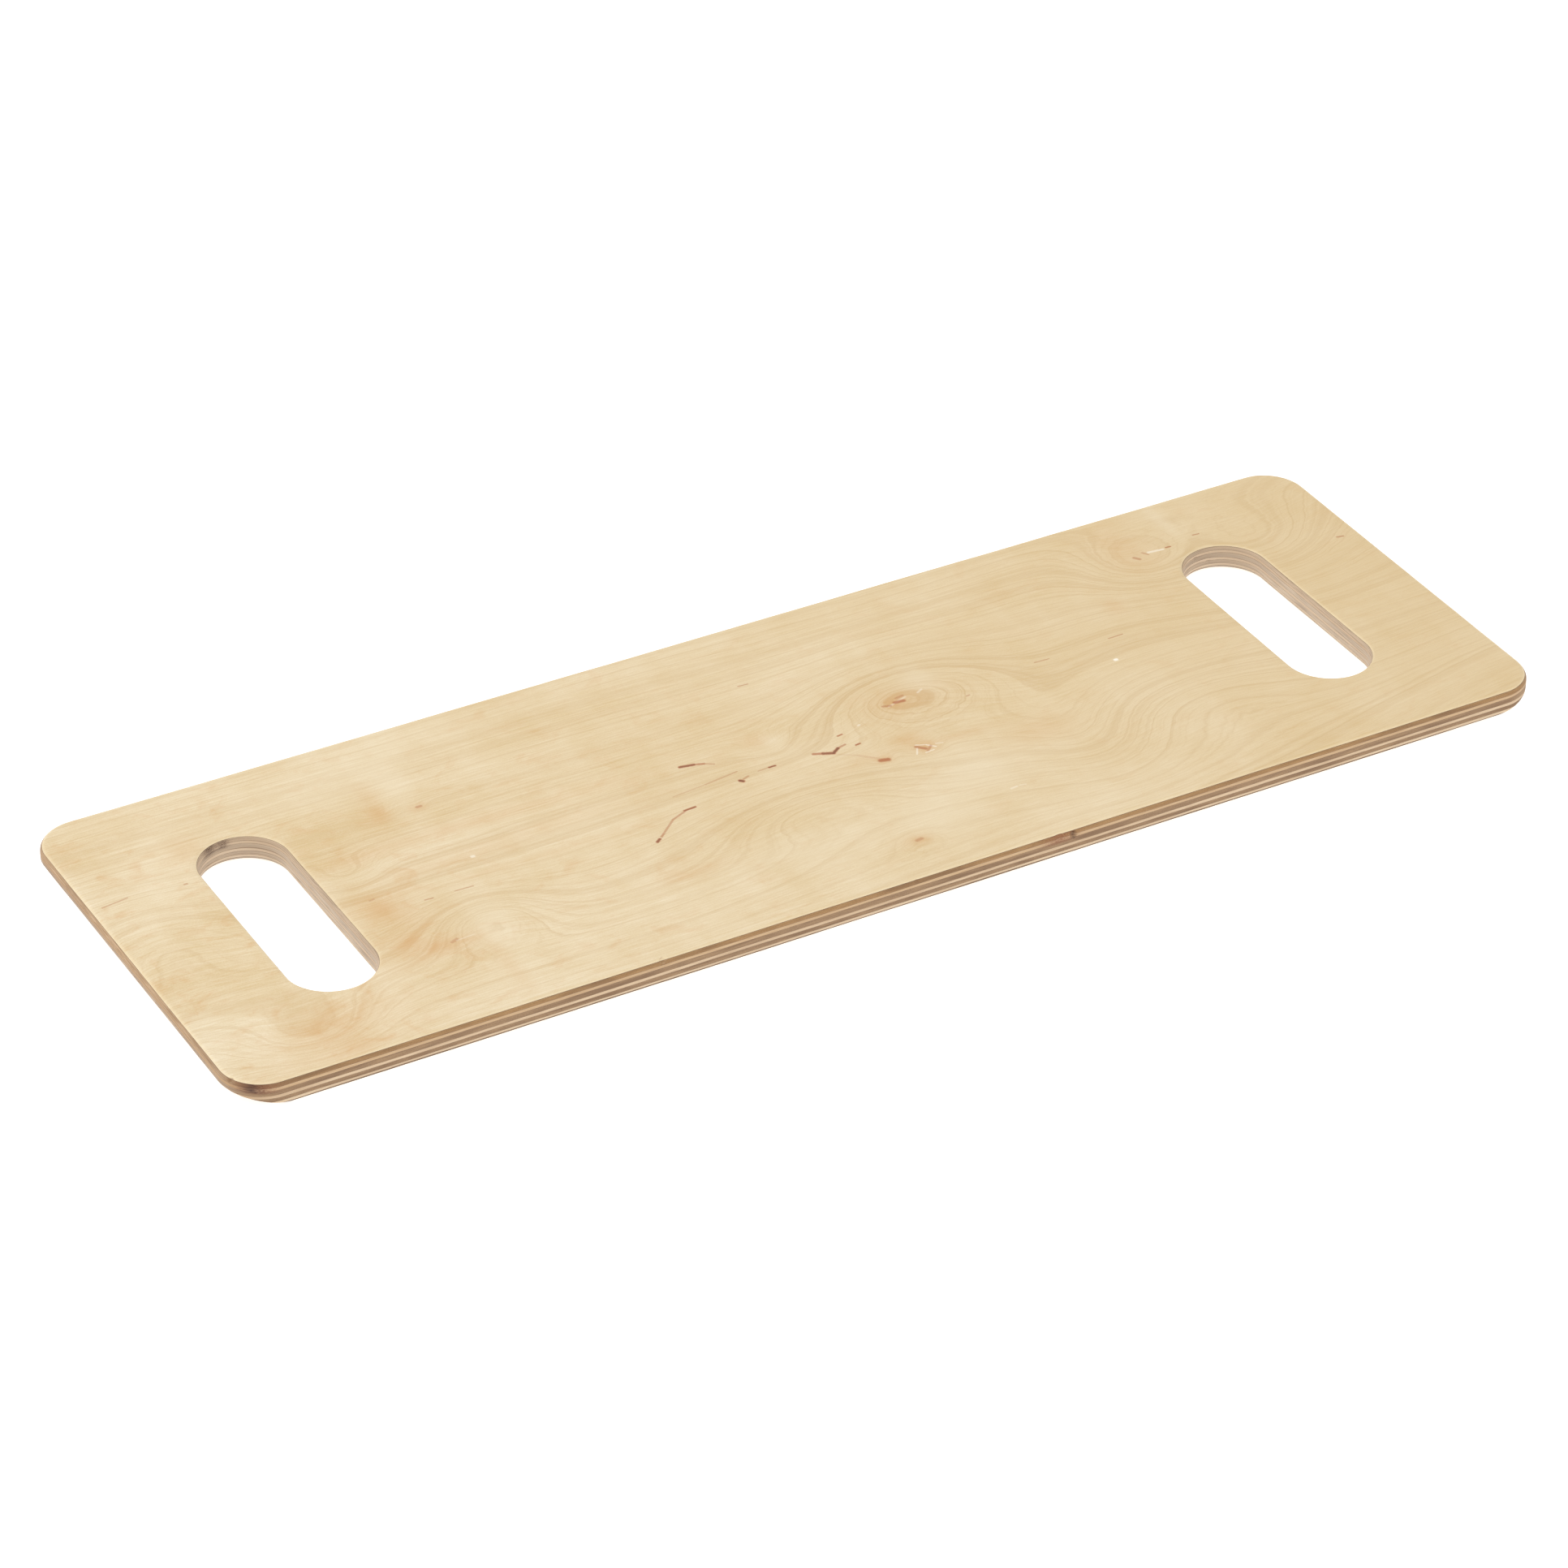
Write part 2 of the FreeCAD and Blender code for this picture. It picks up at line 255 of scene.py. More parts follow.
def edge_heights(low, high, arris):
    """Heights up the cut edge of a ply, close together where the arris rounds it."""
    upper = THICKNESS - arris
    if high > upper:
        start = math.asin(max(low - upper, 0) / arris)
        end = math.asin(min(high - upper, arris) / arris)
        turns = [start + (end - start) * i / ARRIS_STEPS for i in range(ARRIS_STEPS + 1)]
        climb = [upper + arris * math.sin(turn) for turn in turns]
        return [low] + climb if low < upper else climb
    if low < arris:
        mirrored = edge_heights(THICKNESS - high, THICKNESS - low, arris)
        return [THICKNESS - height for height in reversed(mirrored)]
    return [low + (high - low) * i / WALL_STEPS for i in range(WALL_STEPS + 1)]


def edge_profile(low, high, heights_up, arris):
    """Points up the cut edge of a ply as (depth into the wood, height), with a guard strip on a face."""
    profile = [(arris_depth(height, arris), height) for height in heights_up]
    if low < TOUCH:
        profile.insert(0, (arris + GUARD, low))
    if high > THICKNESS - TOUCH:
        profile.append((arris + GUARD, high))
    return profile


def chipped(point):
    """A point of a cut edge after the small damage."""
    for place, radius, gone in CHIPS:
        near = (point - Vector(place)).length / radius
        if near < 1:
            point = point + Vector(gone) * (1 - near * near)
    return point


def edge_point(point, into, depth, height, low, high, shape):
    """One point of a ply's cut edge, with the sander's unevenness and the waver of its glue lines."""
    ripple = noise.noise(Vector((point.x / 9, point.y / 9, height / 1.5 + 20)))
    depth += shape.sanding_ripple / MM * max(0.5 + ripple, 0)
    flat = point + into * depth
    share = (height - low) / (high - low)
    amount = shape.glue_waver / MM
    lift = (1 - share) * waver(low, flat.x, flat.y, amount) + share * waver(high, flat.x, flat.y, amount)
    return chipped(Vector((flat.x, flat.y, height + lift)))


def bevel_ends(bm):
    """Planes off the wedge under both ends and closes the cut."""
    for side in (1, -1):
        start = Vector((side * BEVEL_START, 0, 0)) * MM
        facing = Vector((side * BEVEL_HEIGHT, 0, BEVEL_START - LENGTH / 2)).normalized()
        geometry = bm.verts[:] + bm.edges[:] + bm.faces[:]
        bmesh.ops.bisect_plane(
            bm, geom=geometry, dist=1e-8, plane_co=start, plane_no=facing, clear_outer=True
        )
        rim = [edge for edge in bm.edges if edge.is_boundary]
        filled = bmesh.ops.holes_fill(bm, edges=rim, sides=0)
        bmesh.ops.triangulate(bm, faces=filled["faces"], ngon_method="EAR_CLIP")


def ply_mesh(name, low, high, shape):
    """One ply or glue film as a closed mesh with sanded edges, slots and end bevels."""
    bm = bmesh.new()
    rings = []
    for loop, arris in LOOPS:
        columns = []
        heights_up = edge_heights(low, high, arris)
        for point, into in loop:
            # sanding by hand leaves the rounding a little larger here and smaller there
            worn = arris * (0.97 + 0.05 * noise.noise(Vector((point.x / 30, point.y / 30, 4.7))))
            profile = edge_profile(low, high, heights_up, worn)
            columns.append(
                [bm.verts.new(edge_point(point, into, d, z, low, high, shape) * MM) for d, z in profile]
            )
        rings.append(columns)
        for i, column in enumerate(columns):
            following = columns[(i + 1) % len(columns)]
            for j in range(len(column) - 1):
                bm.faces.new((column[j], following[j], following[j + 1], column[j + 1]))
    amount = shape.glue_waver / MM
    for level, height in ((0, low), (-1, high)):
        flat = [column[level] for columns in rings for column in columns]
        for x, y in GRID:
            flat.append(bm.verts.new(Vector((x, y, height + waver(height, x, y, amount))) * MM))
        for triangle in TRIANGLES:
            bm.faces.new([flat[i] for i in triangle])
    if low < BEVEL_HEIGHT:
        bevel_ends(bm)
    bmesh.ops.recalc_face_normals(bm, faces=bm.faces)
    mesh = bpy.data.meshes.new(name)
    bm.to_mesh(mesh)
    bm.free()
    mesh.shade_smooth()
    mesh.set_sharp_from_angle(angle=SHARP_ANGLE)
    return mesh


def place_ply(node, material, shape):
    """Builds the ply that stands for one CAD node and fixes it to the board."""
    low, high = heights(node)
    name = f"sanded_{node}"
    old = bpy.data.objects.get(name)
    if old:
        bpy.data.objects.remove(old)
    ply = bpy.data.objects.new(name, ply_mesh(name, low, high, shape))
    ply.data.materials.append(material)
    bpy.context.scene.collection.objects.link(ply)
    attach(ply, "root")
    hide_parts(node)
    return ply


# ---------------------------------------------------------------------------
# Materials


def linear(hex_colour):
    """An sRGB hex colour as linear RGBA."""
    channels = [int(hex_colour[i:i + 2], 16) / 255 for i in (1, 3, 5)]
    return tuple(c / 12.92 if c <= 0.04045 else ((c + 0.055) / 1.055) ** 2.4 for c in channels) + (1.0,)


def add(tree, kind, *links, out=0, **settings):
    """Adds one shader node, sets its properties, feeds its inputs and gives back one of its outputs."""
    made = tree.nodes.new("ShaderNode" + kind)
    for name, value in settings.items():
        setattr(made, name, value)
    for socket, value in links:
        if isinstance(value, bpy.types.NodeSocket):
            tree.links.new(value, made.inputs[socket])
        else:
            made.inputs[socket].default_value = value
    return made.outputs[out] if made.outputs else None


def times(put, value, factor, **settings):
    """value times factor."""
    return put("Math", (0, value), (1, factor), operation="MULTIPLY", **settings)


def times_add(put, value, factor, rest):
    """value times factor, plus rest."""
    return put("Math", (0, value), (1, factor), (2, rest), operation="MULTIPLY_ADD")


def stretch(put, place, factors):
    """A place times three factors, each 1 over the size that one unit of a pattern gets, in mm."""
    return put("VectorMath", (0, place), (1, factors), operation="MULTIPLY")


def ramp(put, value, start, end, low=0.0, high=1.0):
    """A smooth rise from low, where value is start, to high, where it is end."""
    return put(
        "MapRange", (0, value), (1, start), (2, end), (3, low), (4, high), interpolation_type="SMOOTHSTEP"
    )


def new_material(name):
    """An empty material, its node adder, and the place on the board in millimetres."""
    material = bpy.data.materials.get(name) or bpy.data.materials.new(name)
    material.use_nodes = True
    material.node_tree.nodes.clear()
    put = partial(add, material.node_tree)
    place = stretch(put, put("TexCoord", out="Object"), (1 / MM, 1 / MM, 1 / MM))
    return material, put, place


def close_material(put, colour, roughness, height, depth_mm, settings):
    """Ends a material in one Principled shader with its bump; height runs 0 to 1 over depth_mm."""
    bump = put("Bump", ("Strength", 1.0), ("Distance", depth_mm * MM), ("Height", height))
    shader = put(
        "BsdfPrincipled", ("Base Color", colour), ("Roughness", roughness), ("Normal", bump), *settings
    )
    put("OutputMaterial", ("Surface", shader))


def swell(put, place, spot):
    """A soft round spot, 1 at its middle and 0 away from it; spot is x, y and its two radii in mm."""
    x, y, reach_x, reach_y = spot
    moved = put("VectorMath", (0, place), (1, (-x, -y, 0)), operation="ADD")
    scaled = stretch(put, moved, (1 / reach_x, 1 / reach_y, 0))
    squared = put("VectorMath", (0, scaled), (1, scaled), operation="DOT_PRODUCT", out="Value")
    fading = times(put, squared, -1.0)
    return put("Math", (0, fading), operation="EXPONENT")


def sum_of_swells(put, place, start, spots):
    """start plus every spot times its own amount, which is the spot's last number."""
    total = start
    for spot in spots:
        part = swell(put, place, spot[:4])
        total = times_add(put, part, spot[4], total)
    return total


def fleck(put, place, fleck_line):
    """A short line between two points with soft sides and round ends, 1 along its middle; ends and half
    width in mm.
    """
    x0, y0, x1, y1, half_width = fleck_line
    run = Vector((x1 - x0, y1 - y0, 0))
    moved = put("VectorMath", (0, place), (1, (-x0, -y0, 0)), operation="ADD")
    along = put(
        "VectorMath", (0, moved), (1, run / run.length_squared), operation="DOT_PRODUCT", out="Value"
    )
    held = put("Clamp", ("Value", along))
    foot = put("VectorMath", (0, tuple(run)), ("Scale", held), operation="SCALE")
    away = put("VectorMath", (0, moved), (1, foot), operation="SUBTRACT")
    flat = stretch(put, away, (1, 1, 0))
    distance = put("VectorMath", (0, flat), operation="LENGTH", out="Value")
    return ramp(put, distance, half_width * 1.3, half_width * 0.4)


def sum_of_flecks(put, place, flecks):
    """The strongest of many flecks; each one's last number is its strength."""
    total = 0.0
    for line in flecks:
        part = times(put, fleck(put, place, line[:5]), line[5])
        total = put("Math", (0, part), (1, total), operation="MAXIMUM")
    return total


def stained(put, amount, colour, stain):
    """colour with a stain laid over it by amount."""
    return put("Mix", (0, amount), (6, colour), (7, stain), data_type="RGBA", out=2)


# Where the growth rings of the top face veneer bulge, as x, y, two radii and the bulge, all in mm.
# A bulge stronger than about 1.2 times its y radius closes the rings into ovals.
TOP_SWELLS = (
    (64, 19, 40, 25, -62),
    (54, 17, 12, 9, -8),
    (-14, -36, 52, 20, -34),
    (30, -68, 70, 24, -16),
    (47, -20, 7, 6, 14),
    (28, -20, 5, 4, 7),
    (112, -40, 24, 30, 22),
    (172, -44, 52, 30, -34),
    (165, 16, 45, 18, -10),
    (330, -90, 130, 70, -44),
    (205, 62, 26, 24, 46),
    (260, 50, 40, 36, 52),
    (-168, -42, 26, 20, -36),
    (-262, -78, 28, 20, 32),
    (-204, 12, 14, 11, 15),
    (-174, 44, 8, 6, 8),
    (-157, 42, 4, 3.5, 5),
    (10, -78, 9, 6, -9),
    (-10, 14, 11, 9, 14),
    (-288, 4, 30, 30, -30),
)
# Where the growth lines stand out most: x, y, two radii in mm and how much more than elsewhere
TOP_LINED = (
    (62, 19, 44, 26, 1.6),
    (215, 55, 60, 34, 0.9),
    (-17, -30, 64, 26, 0.6),
    (172, -40, 60, 34, 0.5),
    (-180, 5, 70, 30, 0.5),
    (-170, -45, 40, 26, 0.5),
)
# Warm, resin-rich wood: x, y, two radii in mm and strength
TOP_WARM = (
    (54, 17, 10, 7, 0.28),
    (56, 15.5, 3.4, 2.0, 0.32),
    (60, 14, 26, 16, 0.14),
    (44, -11, 7, 5, 0.40),
    (28, -20, 3.5, 2.5, 0.60),
    (48, -20, 5, 4, 0.70),
    (68, -19, 14, 3, 0.22),
    (-13, 18, 6, 5, 0.28),
    (205, 66, 12, 14, 0.22),
    (203, 84, 10, 14, 0.20),
    (176, 35, 5, 6, 0.25),
    (10, -77, 8, 4.5, 0.26),
    (11, -78, 4, 3, 0.30),
    (-191, -51, 10, 5, 0.42),
    (-203, -42, 8, 6, 0.35),
    (-202, -17, 7, 8, 0.42),
    (-173, 45, 4, 5, 0.42),
    (-171, 58, 5, 9, 0.22),
    (-157, 41, 4, 3, 0.35),
    (-254, 58, 10, 9, 0.30),
    (-263, -82, 18, 8, 0.16),
    (-252, -95, 7, 8, 0.25),
    (-196, 20, 16, 6, 0.26),
    (-150, 21, 40, 4, 0.24),
    (-100, 19, 40, 4, 0.16),
    (-160, 1, 34, 3.5, 0.18),
    (-110, 4, 30, 3, 0.14),
    (-130, -14, 50, 3, 0.14),
    (-81, -54, 16, 5, 0.16),
    (97, -31, 16, 9, 0.26),
    (-175, -75, 4, 20, 0.20),
    (-205, -15, 14, 12, 0.22),
    (-196, -32, 12, 10, 0.20),
    (-200, -53, 24, 8, 0.20),
    (-250, -80, 30, 14, 0.16),
    (-262, -96, 30, 6, 0.18),
    (-176, 42, 6, 12, 0.20),
    (-238, -72, 14, 8, 0.16),
    (24, -16, 14, 5, 0.18),
)
# Pale, silvery wood where the fibres tip up: x, y, two radii in mm and strength
TOP_PALE = (
    (72, 27, 10, 10, 0.30),
    (-170, -50, 10, 14, 0.35),
    (-6, 15, 5, 4, 0.30),
    (-160, 60, 10, 22, 0.20),
    (-30, -62, 40, 16, 0.25),
    (60, -45, 26, 14, 0.25),
    (-190, 72, 24, 16, 0.22),
    (30, -70, 18, 18, 0.22),
    (-215, 6, 7, 9, 0.20),
    (232, 88, 4, 12, 0.22),
    (-130, 88, 60, 12, 0.14),
)
# Brown and black mineral streaks: start and end, half width in mm, strength
TOP_STREAKS = (
    (-49.0, 15.7, -43.0, 14.6, 0.98, 0.95),
    (-43.0, 14.6, -39.0, 13.2, 0.78, 0.70),
    (-39.0, 13.2, -35.5, 11.0, 0.59, 0.40),
    (-62.0, -2.3, -46.0, -0.6, 0.45, 0.22),
    (-46.0, -0.6, -30.0, 1.6, 0.52, 0.35),
    (-32.0, -5.0, -31.2, -5.8, 1.10, 1.00),
    (-31.0, -5.0, -27.5, -3.6, 0.59, 0.45),
    (-16.7, -2.1, -13.9, -2.1, 0.65, 0.95),
    (-22.0, -2.4, -17.0, -2.1, 0.45, 0.35),
    (4.4, -2.3, 8.0, -3.8, 0.98, 0.75),
    (8.0, -3.8, 12.0, -5.6, 1.17, 0.95),
    (12.0, -5.6, 15.6, -3.2, 0.91, 1.00),
    (15.6, -3.2, 19.5, -2.2, 0.65, 0.60),
    (20.0, 4.7, 22.2, 5.0, 0.52, 0.80),
    (23.3, -4.8, 25.3, -4.5, 0.59, 0.85),
    (83.2, 5.3, 84.6, 5.5, 0.45, 0.45),
    (2.2, 58.0, 6.7, 57.7, 0.45, 0.45),
    (-62.8, -13.4, -57.6, -13.0, 0.72, 0.90),
    (-70.0, -16.8, -62.8, -13.8, 0.59, 0.55),
    (-78.3, -24.0, -70.0, -16.8, 0.59, 0.50),
    (-80.0, -25.5, -78.3, -24.0, 0.65, 0.60),
    (-83.3, -27.9, -81.5, -26.6, 0.85, 0.95),
    (12.0, -6.5, 20.0, -12.0, 0.65, 0.12),
    (20.0, -12.0, 28.0, -19.5, 0.78, 0.18),
    (26.5, -19.8, 29.5, -20.6, 1.43, 0.80),
    (44.5, -18.0, 47.5, -21.0, 1.04, 0.62),
    (47.5, -22.6, 50.5, -20.0, 0.72, 0.45),
    (48.0, 15.2, 51.0, 14.2, 0.78, 0.50),
    (54.0, 15.4, 58.0, 15.0, 1.17, 0.75),
    (56.0, 18.0, 59.5, 18.6, 0.78, 0.40),
    (205.0, 65.6, 206.6, 63.4, 0.91, 0.50),
    (210.4, 67.4, 212.0, 65.0, 0.65, 0.40),
    (222.0, 66.2, 224.0, 66.0, 0.59, 0.75),
    (238.0, 69.4, 241.0, 69.1, 0.45, 0.60),
    (122.0, 13.9, 129.0, 13.6, 0.39, 0.45),
    (160.0, 15.0, 167.0, 15.2, 0.39, 0.50),
    (293.0, 37.6, 296.0, 37.0, 0.52, 0.60),
    (-299.4, 37.1, -287.8, 38.8, 0.45, 0.42),
    (-263.8, 36.4, -262.8, 36.4, 0.59, 0.45),
    (-184.4, -19.5, -181.0, -19.7, 0.45, 0.50),
    (-171.0, -19.6, -163.0, -19.9, 0.39, 0.42),
    (9.6, -77.6, 12.0, -77.2, 1.04, 0.40),
    (-188.0, -50.6, -185.4, -49.6, 0.91, 0.35),
    (-157.4, 41.4, -155.8, 41.4, 0.91, 0.45),
    (-204.0, -9.5, -202.0, -9.2, 0.52, 0.30),
)
# Cream flecks of hard tissue and filler: start and end, half width in mm, strength
TOP_CREAM = (
    (153.4, -0.7, 153.9, -0.7, 1.00, 1.0),
    (-153.9, -1.2, -153.3, -1.2, 0.95, 0.55),
    (31.6, 7.7, 32.3, 7.8, 0.60, 0.45),
    (63.0, -63.6, 66.0, -63.2, 0.60, 0.35),
    (67.5, -63.0, 70.0, -63.6, 0.50, 0.25),
    (50.0, 13.8, 60.0, 17.2, 0.60, 0.28),
    (213.0, 66.4, 220.0, 65.6, 0.80, 0.55),
    (42.0, -23.0, 44.5, -19.0, 0.45, 0.45),
    (45.0, -16.8, 48.5, -18.2, 0.45, 0.45),
    (49.0, -18.6, 52.0, -21.6, 0.50, 0.55),
    (46.0, -23.6, 50.0, -23.2, 0.45, 0.45),
    (53.0, -19.6, 56.0, -20.4, 0.40, 0.35),
    (66.4, 17.6, 69.0, 19.0, 0.60, 0.35),
    (-186.0, -50.4, -178.0, -50.0, 0.40, 0.25),
)
UNDER_SWELLS = (
    (-120, 30, 34, 20, -30),
    (150, -30, 44, 26, -24),
    (30, 50, 70, 30, 18),
    (-230, -60, 40, 26, -20),
    (250, 60, 30, 24, 26),
)
UNDER_LINED = ((-120, 30, 50, 30, 0.8), (150, -30, 60, 30, 0.8))
UNDER_WARM = (
    (-120, 30, 10, 6, 0.60),
    (150, -30, 8, 6, 0.45),
    (250, 60, 12, 8, 0.35),
    (40, 10, 60, 5, 0.20),
    (-200, -60, 40, 5, 0.20),
)
UNDER_PALE = ((-95, 44, 14, 10, 0.3), (60, -60, 40, 14, 0.25))
UNDER_STREAKS = (
    (-121.5, 30.0, -118.0, 29.0, 0.80, 0.70),
    (-40.0, -21.0, -33.0, -20.2, 0.40, 0.60),
    (92.0, 44.0, 98.0, 44.6, 0.45, 0.60),
    (149.0, -30.0, 151.0, -30.4, 0.70, 0.60),
)
UNDER_CREAM = ((-75.2, 58.0, -74.6, 58.0, 0.8, 0.6),)
# Marks in the upper plies of the cut edges: x, y, two radii in mm and strength. The stains are a knot and a
# handled corner; the dark ones are the void beside that knot, the corner's dirt and a router's scorch.
EDGE_STAINS = (
    (63, -101, 7, 6, 1.1),
    (-296, -98, 8, 7, 1.1),
)
EDGE_DARK = (
    (69.8, -101, 1.1, 4, 0.75),
    (-297.5, -97.5, 4.5, 4, 1.2),
    (-244, 57, 4, 5, 1.1),
    (-237, 58, 2.5, 5, 0.9),
)


def face_birch(name, seed, swells, lined, warm, pale, streaks, cream, colours):
    """Rotary-peeled birch face veneer, fine-sanded under clear satin lacquer: pale cream-yellow wood with
    faint wandering growth lines, hair-fine fibres along the board, silky cross ripple and a soft shine."""
    material, put, place = new_material(name)
    # pea-sized unevenness of the outline of every mark, so none looks drawn
    wobble = put("TexNoise", ("Vector", place), ("Scale", 0.22), ("Detail", 2.0), out="Color")
    centred = put("VectorMath", (0, wobble), (1, (-0.5, -0.5, -0.5)), operation="ADD")
    shift = put("VectorMath", (0, centred), ("Scale", 2.2), operation="SCALE")
    loose = put("VectorMath", (0, place), (1, shift), operation="ADD")
    axes = put("SeparateXYZ", ("Vector", place), out="X").node

    # growth rings: peeled veneer shows them 1 to 11 mm apart as contour lines, stretched along the board
    long_place = stretch(put, place, (1 / 190, 1 / 42, 0))
    drift = put("TexNoise", ("Vector", long_place), ("W", seed), ("Scale", 1.0), ("Detail", 3.0),
                ("Roughness", 0.42), noise_dimensions="4D")
    drifted = times_add(put, drift, 16.0, axes.outputs["Y"])
    rings = sum_of_swells(put, loose, drifted, swells)
    broad = put("TexNoise", ("W", rings), ("Scale", 1 / 11), ("Detail", 1.5), ("Roughness", 0.55),
                noise_dimensions="1D")
    narrow = put("TexNoise", ("W", rings), ("Scale", 1 / 2.6), ("Detail", 1.0), noise_dimensions="1D")
    hair = put("TexNoise", ("W", rings), ("Scale", 1 / 1.1), ("Detail", 1.0), noise_dimensions="1D")
    narrow_line = ramp(put, narrow, 0.54, 0.72)
    wide_line = ramp(put, broad, 0.50, 0.66)
    hair_line = ramp(put, hair, 0.52, 0.70, 0.0, 0.55)

    # fibres run along the board and bend only a little round a knot; about 0.5 mm apart, 16 mm long
    bend = put("Math", (0, rings), (1, axes.outputs["Y"]), operation="SUBTRACT")
    across = times_add(put, bend, 0.30, axes.outputs["Y"])
    fibre_place = put("CombineXYZ", (0, axes.outputs["X"]), (1, across), (2, seed))
    fibre_scaled = stretch(put, fibre_place, (1 / 16, 1 / 0.55, 1))
    fibre = put("TexNoise", ("Vector", fibre_scaled), ("Scale", 1.0), ("Detail", 3.0), ("Roughness", 0.6))
    # vessels are 0.1 mm wide and too fine to show, so they are drawn 0.3 mm wide and 4 mm long
    pore_scaled = stretch(put, fibre_place, (1 / 4.2, 1 / 0.34, 1))
    pore = put("TexNoise", ("Vector", pore_scaled), ("Scale", 1.0), ("Detail", 1.0))
    pores = ramp(put, pore, 0.60, 0.74)

    # silky cross ripple, bands about 13 mm wide across the board, and hand-sized lighter and darker clouds
    ripple_place = stretch(put, loose, (1 / 13, 1 / 46, 0))
    ripple = put("TexNoise", ("Vector", ripple_place), ("W", seed + 3), ("Scale", 1.0), ("Detail", 2.0),
                 ("Distortion", 0.4), noise_dimensions="4D")
    cloud_place = stretch(put, place, (1 / 75, 1 / 48, 0))
    clouds = put("TexNoise", ("Vector", cloud_place), ("W", seed + 9), ("Scale", 1.0), ("Detail", 3.0),
                 noise_dimensions="4D")
    grit = put("TexNoise", ("Vector", place), ("Scale", 1.6), ("Detail", 2.0))

    tone = times(put, clouds, 0.70)
    tone = times_add(put, ripple, 0.24, tone)
    tone = times_add(put, fibre, 0.60, tone)
    tone = times_add(put, grit, 0.30, tone)
    lightness = put("MapRange", (0, tone), (1, 0.67), (2, 1.17))
    colour = stained(put, lightness, colours.face_deep, colours.face_pale)
    # the sheet yellows from one end of the board to the other: partly the wood's own warmer half, partly
    # painted sheen, the left end kept paler as if it reflected more of the soft light
    sheen_falloff_and_warmth = put("MapRange", (0, axes.outputs["X"]), (1, -LENGTH / 2), (2, LENGTH / 2),
                     (3, 0.0), (4, 0.62))
    colour = stained(put, sheen_falloff_and_warmth, colour, colours.face_warm_low_sheen)
    # where a growth line is plain, it takes the wood this far toward the latewood colour
    line_strength = 0.19
    standing = sum_of_swells(put, place, 1.0, lined)
    wide_amount = times(put, wide_line, line_strength)
    wide_amount = times(put, wide_amount, standing)
    colour = stained(put, wide_amount, colour, colours.latewood)
    any_line = put("Math", (0, narrow_line), (1, hair_line), operation="ADD")
    line_amount = times(put, any_line, line_strength)
    line_amount = times(put, line_amount, standing)
    colour = stained(put, line_amount, colour, colours.latewood)
    colour = stained(put, times(put, pores, 0.14), colour, colours.latewood)

    # blotches a thumb wide where the lacquer soaked in deeper, mostly toward the paler end
    blot_place = stretch(put, place, (1 / 17, 1 / 11, 0))
    blots = put("TexNoise", ("Vector", blot_place), ("W", seed + 5), ("Scale", 1.0), ("Detail", 4.0),
                ("Roughness", 0.6), ("Distortion", 1.2), noise_dimensions="4D")
    blotted = ramp(put, blots, 0.50, 0.74)
    toward_end = put("MapRange", (0, axes.outputs["X"]), (1, -LENGTH / 2), (2, 60), (3, 0.34), (4, 0.10))
    blot_amount = times(put, blotted, toward_end)
    colour = stained(put, blot_amount, colour, colours.knot)

    pale_spots = sum_of_swells(put, loose, 0.0, pale)
    colour = stained(put, pale_spots, colour, colours.silver)
    warm_spots = sum_of_swells(put, loose, 0.0, warm)
    warm_edge = put("MapRange", (0, wide_line), (3, 0.75), (4, 1.25))
    warm_amount = times(put, warm_spots, warm_edge, use_clamp=True)
    colour = stained(put, warm_amount, colour, colours.knot)

    fray = put("TexNoise", ("Vector", place), ("Scale", 1.1), ("Detail", 3.0), out="Color")
    frayed = put("VectorMath", (0, fray), (1, (-0.5, -0.5, -0.5)), operation="ADD")
    fray_shift = put("VectorMath", (0, frayed), ("Scale", 0.4), operation="SCALE")
    near = put("VectorMath", (0, place), (1, fray_shift), operation="ADD")
    cream_marks = sum_of_flecks(put, near, cream)
    colour = stained(put, cream_marks, colour, colours.filler)
    dark_marks = sum_of_flecks(put, near, streaks)
    brown_marks = put("MapRange", (0, dark_marks), (1, 0.0), (2, 0.85))
    black_marks = put("MapRange", (0, dark_marks), (1, 0.80), (2, 1.14))
    # some wood still shows through the darkest mark
    mark_strength = 0.85
    colour = stained(put, times(put, brown_marks, mark_strength), colour, colours.streak)
    colour = stained(put, times(put, black_marks, mark_strength), colour, colours.bark)

    # painted highlight: the rounded arris catching the light is drawn as a paler, yellower line, stronger
    # as the surface turns from flat toward upright
    facing = put("NewGeometry", out="Normal")
    level = put("SeparateXYZ", ("Vector", facing), out="Z")
    upright = put("Math", (0, level), operation="ABSOLUTE")
    rim = ramp(put, upright, 0.995, 0.75, 0.0, 0.55)
    colour = stained(put, rim, colour, colours.rim)
    # further down, its edge is cut side grain like the plies below it, with soft streaks 12 mm long
    wall_place = stretch(put, place, (1 / 12, 1 / 12, 1 / 0.35))
    wall_grain = put("TexNoise", ("Vector", wall_place), ("Scale", 1.0), ("Detail", 3.0))
    wall_light = put("MapRange", (0, wall_grain), (1, 0.36), (2, 0.62))
    wall_colour = stained(put, wall_light, colours.long_dark, colours.long_side)
    wall = ramp(put, upright, 0.60, 0.25, 0.0, 0.85)
    colour = stained(put, wall, colour, wall_colour)
    # painted shade: a thin brown line where the edge turns under and faces down toward the table
    under = ramp(put, level, -0.06, -0.45)
    flat = put("MapRange", (0, level), (1, -0.97), (2, -0.90), (3, 0.0), (4, 0.70))
    underside_shade = times(put, under, flat)
    colour = stained(put, underside_shade, colour, colours.cross_dark)

    gloss = put("MapRange", (0, tone), (1, 0.6), (2, 1.1), (3, 0.50), (4, 0.40))
    rough = times_add(put, dark_marks, 0.12, gloss)
    relief = times_add(put, pores, -0.55, fibre)
    relief = times_add(put, dark_marks, -0.8, relief)
    # fibres stand about 0.02 mm proud under the lacquer
    close_material(put, colour, rough, relief, 0.02, (("IOR", 1.5),))
    return material


